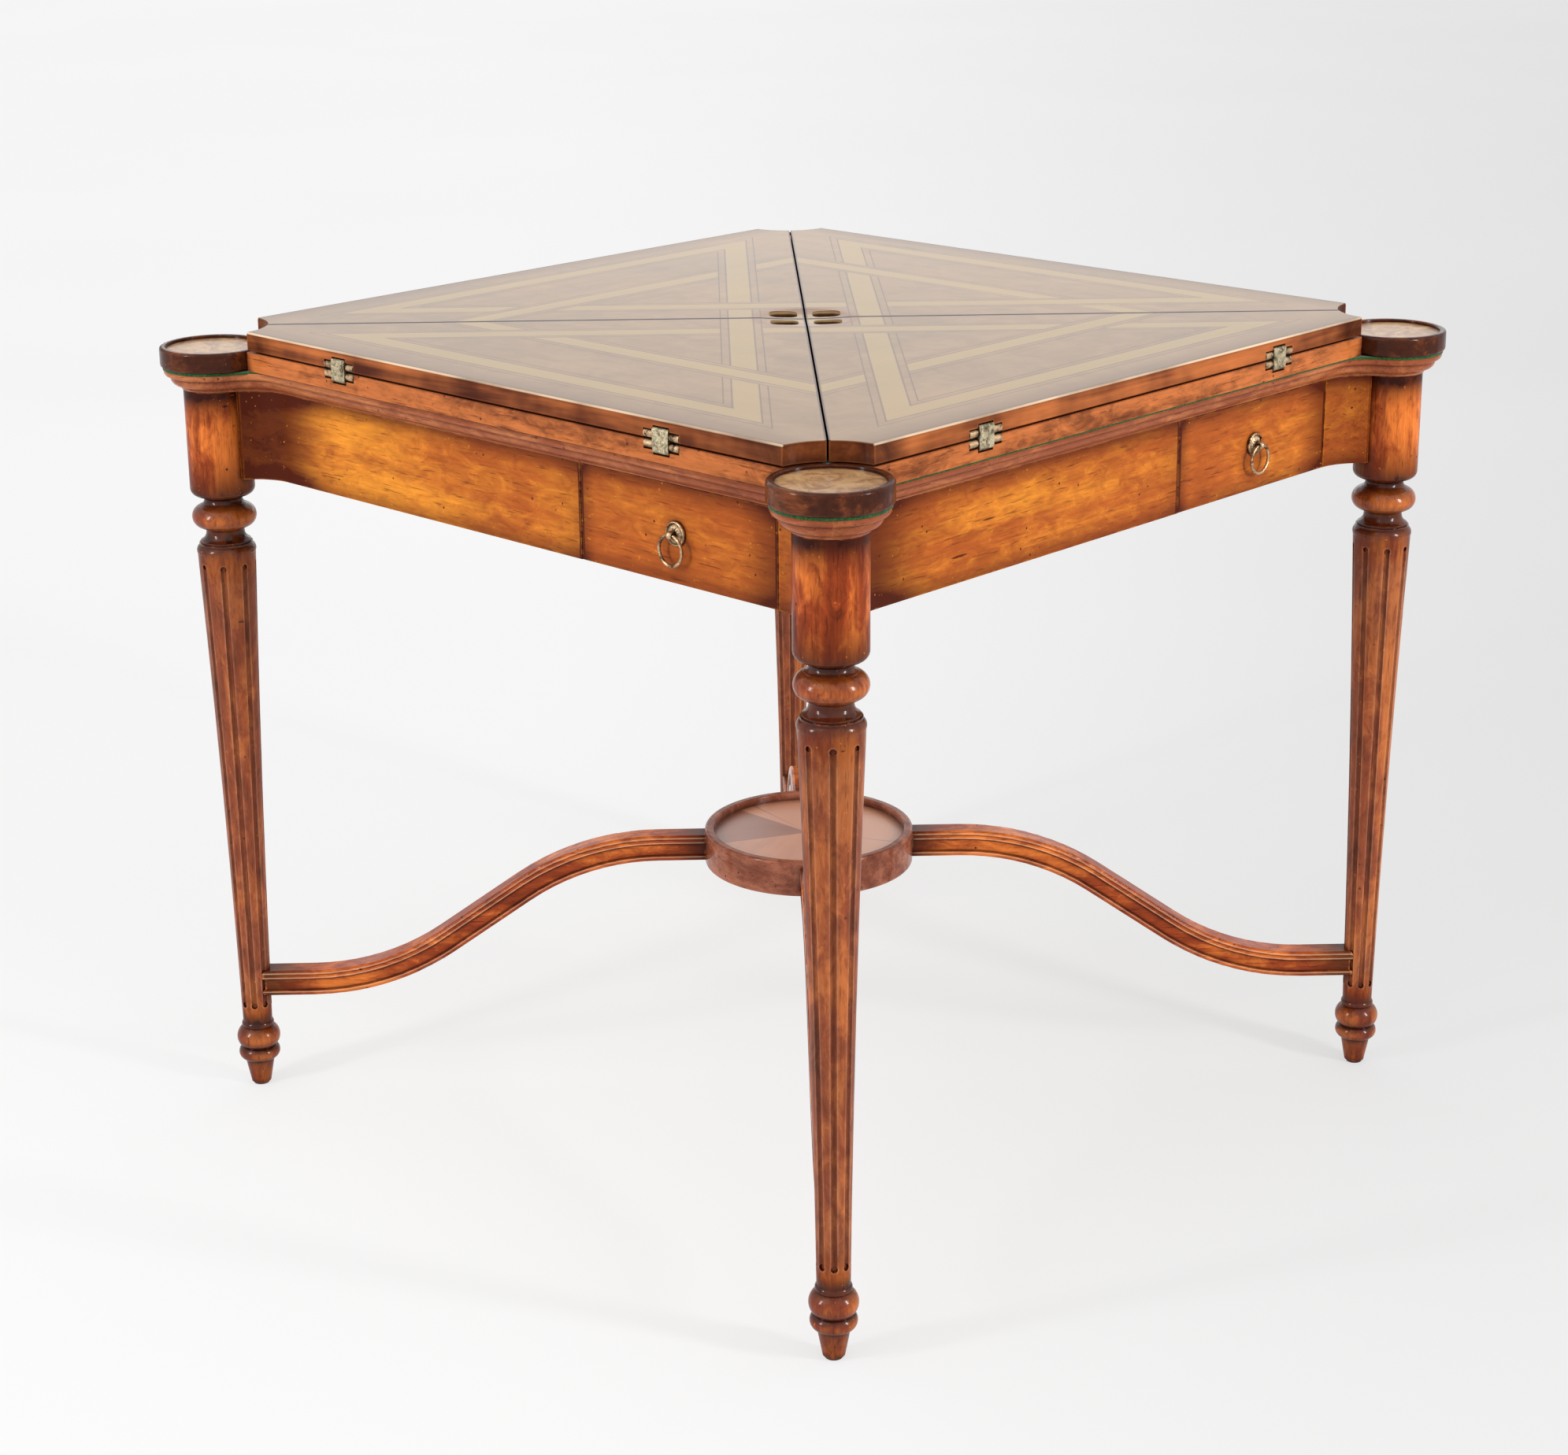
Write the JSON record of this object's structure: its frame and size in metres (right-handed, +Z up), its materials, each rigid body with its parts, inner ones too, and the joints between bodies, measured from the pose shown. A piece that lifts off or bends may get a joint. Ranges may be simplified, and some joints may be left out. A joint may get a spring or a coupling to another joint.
{
  "type": "folding game table",
  "caption": "Square card table on turned fluted legs with an S-curved stretcher, a turning top with triangular leaves that fold out, frieze drawers with ring pulls and round corner stands.",
  "frame": {"origin": "on the floor under the middle of the table", "axes": "+Z up, X and Y square to the sides of the table"},
  "size_m": [0.8706, 0.8706, 0.762],
  "materials": {
    "wood_leg": "satin lacquer over stain",
    "wood_frieze": "satin lacquer over stain",
    "wood_top": "satin lacquer over stain",
    "wood_plain": "unfinished",
    "felt_green": "matt nap",
    "inlay": "burl veneer under lacquer",
    "brass": "antique",
    "steel": "plain",
    "glide": "matt"
  },
  "bodies": {
    "frame": {"leg_1": "wood_leg", "leg_2": "wood_leg", "leg_3": "wood_leg", "leg_4": "wood_leg", "foot_glides": "glide", "frieze_panel_1": "wood_frieze", "frieze_panel_2": "wood_frieze", "frieze_panel_3": "wood_frieze", "frieze_panel_4": "wood_frieze", "cove_stiles": "wood_frieze", "frame_moulding": "wood_frieze", "deck_board": "wood_plain", "frame_felt": "felt_green", "pivot_bush": "brass", "stop_peg": "steel", "drawer_rails": "wood_plain", "stretcher_tray": "wood_leg", "tray_inlay": "wood_top", "stretcher_arms": "wood_leg"},
    "top": {"top_board": "wood_top", "board_baize": "felt_green", "corner_stands": "wood_leg", "stand_inlays": "inlay", "board_hinge_barrels": "brass", "pivot_plate": "steel", "pivot_washer": "steel", "pivot_nut": "steel"},
    "links_1": {"hinge_links_1": "brass"},
    "leaf_body_1": {"leaf_1": "wood_top", "leaf_baize_1": "felt_green", "leaf_hinge_barrels_1": "brass"},
    "drawer_1": {"drawer_front_1": "wood_frieze", "drawer_box_1": "wood_plain", "pull_rosette_1": "brass"},
    "ring_1": {"pull_ring_1": "brass"},
    "links_2": {"hinge_links_2": "brass"},
    "leaf_body_2": {"leaf_2": "wood_top", "leaf_baize_2": "felt_green", "leaf_hinge_barrels_2": "brass"},
    "drawer_2": {"drawer_front_2": "wood_frieze", "drawer_box_2": "wood_plain", "pull_rosette_2": "brass"},
    "ring_2": {"pull_ring_2": "brass"},
    "links_3": {"hinge_links_3": "brass"},
    "leaf_body_3": {"leaf_3": "wood_top", "leaf_baize_3": "felt_green", "leaf_hinge_barrels_3": "brass"},
    "drawer_3": {"drawer_front_3": "wood_frieze", "drawer_box_3": "wood_plain", "pull_rosette_3": "brass"},
    "ring_3": {"pull_ring_3": "brass"},
    "links_4": {"hinge_links_4": "brass"},
    "leaf_body_4": {"leaf_4": "wood_top", "leaf_baize_4": "felt_green", "leaf_hinge_barrels_4": "brass"},
    "drawer_4": {"drawer_front_4": "wood_frieze", "drawer_box_4": "wood_plain", "pull_rosette_4": "brass"},
    "ring_4": {"pull_ring_4": "brass"}
  },
  "joints": [
    {"name": "top_swivel", "type": "hinge", "parent": "frame", "child": "top", "pos_m": [0, 0, 0.726], "axis": [0, 0, 1], "range_deg": [0, 45]},
    {"name": "link_hinge_1", "type": "hinge", "parent": "top", "child": "links_1", "pos_m": [0.3818, 0, 0.74005], "axis": [0, 1, 0], "range_deg": [0, 90]},
    {"name": "leaf_hinge_1", "type": "hinge", "parent": "links_1", "child": "leaf_body_1", "pos_m": [0.3818, 0, 0.74845], "axis": [0, 1, 0], "range_deg": [0, 90]},
    {"name": "drawer_slide_1", "type": "slide", "parent": "frame", "child": "drawer_1", "axis": [1, 0, 0], "range_m": [0, 0.2]},
    {"name": "ring_swing_1", "type": "hinge", "parent": "drawer_1", "child": "ring_1", "pos_m": [0.3726, 0.19822, 0.664], "axis": [0, -1, 0], "range_deg": [0, 95]},
    {"name": "link_hinge_2", "type": "hinge", "parent": "top", "child": "links_2", "pos_m": [0, 0.3818, 0.74005], "axis": [-1, 0, 0], "range_deg": [0, 90]},
    {"name": "leaf_hinge_2", "type": "hinge", "parent": "links_2", "child": "leaf_body_2", "pos_m": [0, 0.3818, 0.74845], "axis": [-1, 0, 0], "range_deg": [0, 90]},
    {"name": "drawer_slide_2", "type": "slide", "parent": "frame", "child": "drawer_2", "axis": [0, 1, 0], "range_m": [0, 0.2]},
    {"name": "ring_swing_2", "type": "hinge", "parent": "drawer_2", "child": "ring_2", "pos_m": [-0.19822, 0.3726, 0.664], "axis": [1, 0, 0], "range_deg": [0, 95]},
    {"name": "link_hinge_3", "type": "hinge", "parent": "top", "child": "links_3", "pos_m": [-0.3818, 0, 0.74005], "axis": [0, -1, 0], "range_deg": [0, 90]},
    {"name": "leaf_hinge_3", "type": "hinge", "parent": "links_3", "child": "leaf_body_3", "pos_m": [-0.3818, 0, 0.74845], "axis": [0, -1, 0], "range_deg": [0, 90]},
    {"name": "drawer_slide_3", "type": "slide", "parent": "frame", "child": "drawer_3", "axis": [-1, 0, 0], "range_m": [0, 0.2]},
    {"name": "ring_swing_3", "type": "hinge", "parent": "drawer_3", "child": "ring_3", "pos_m": [-0.3726, -0.19822, 0.664], "axis": [0, 1, 0], "range_deg": [0, 95]},
    {"name": "link_hinge_4", "type": "hinge", "parent": "top", "child": "links_4", "pos_m": [0, -0.3818, 0.74005], "axis": [1, 0, 0], "range_deg": [0, 90]},
    {"name": "leaf_hinge_4", "type": "hinge", "parent": "links_4", "child": "leaf_body_4", "pos_m": [0, -0.3818, 0.74845], "axis": [1, 0, 0], "range_deg": [0, 90]},
    {"name": "drawer_slide_4", "type": "slide", "parent": "frame", "child": "drawer_4", "axis": [0, -1, 0], "range_m": [0, 0.2]},
    {"name": "ring_swing_4", "type": "hinge", "parent": "drawer_4", "child": "ring_4", "pos_m": [0.19822, -0.3726, 0.664], "axis": [-1, 0, 0], "range_deg": [0, 95]}
  ],
  "couplings": [
    {"joint": "link_hinge_1", "follows": "leaf_hinge_1", "ratio": 1},
    {"joint": "link_hinge_2", "follows": "leaf_hinge_2", "ratio": 1},
    {"joint": "link_hinge_3", "follows": "leaf_hinge_3", "ratio": 1},
    {"joint": "link_hinge_4", "follows": "leaf_hinge_4", "ratio": 1}
  ]
}
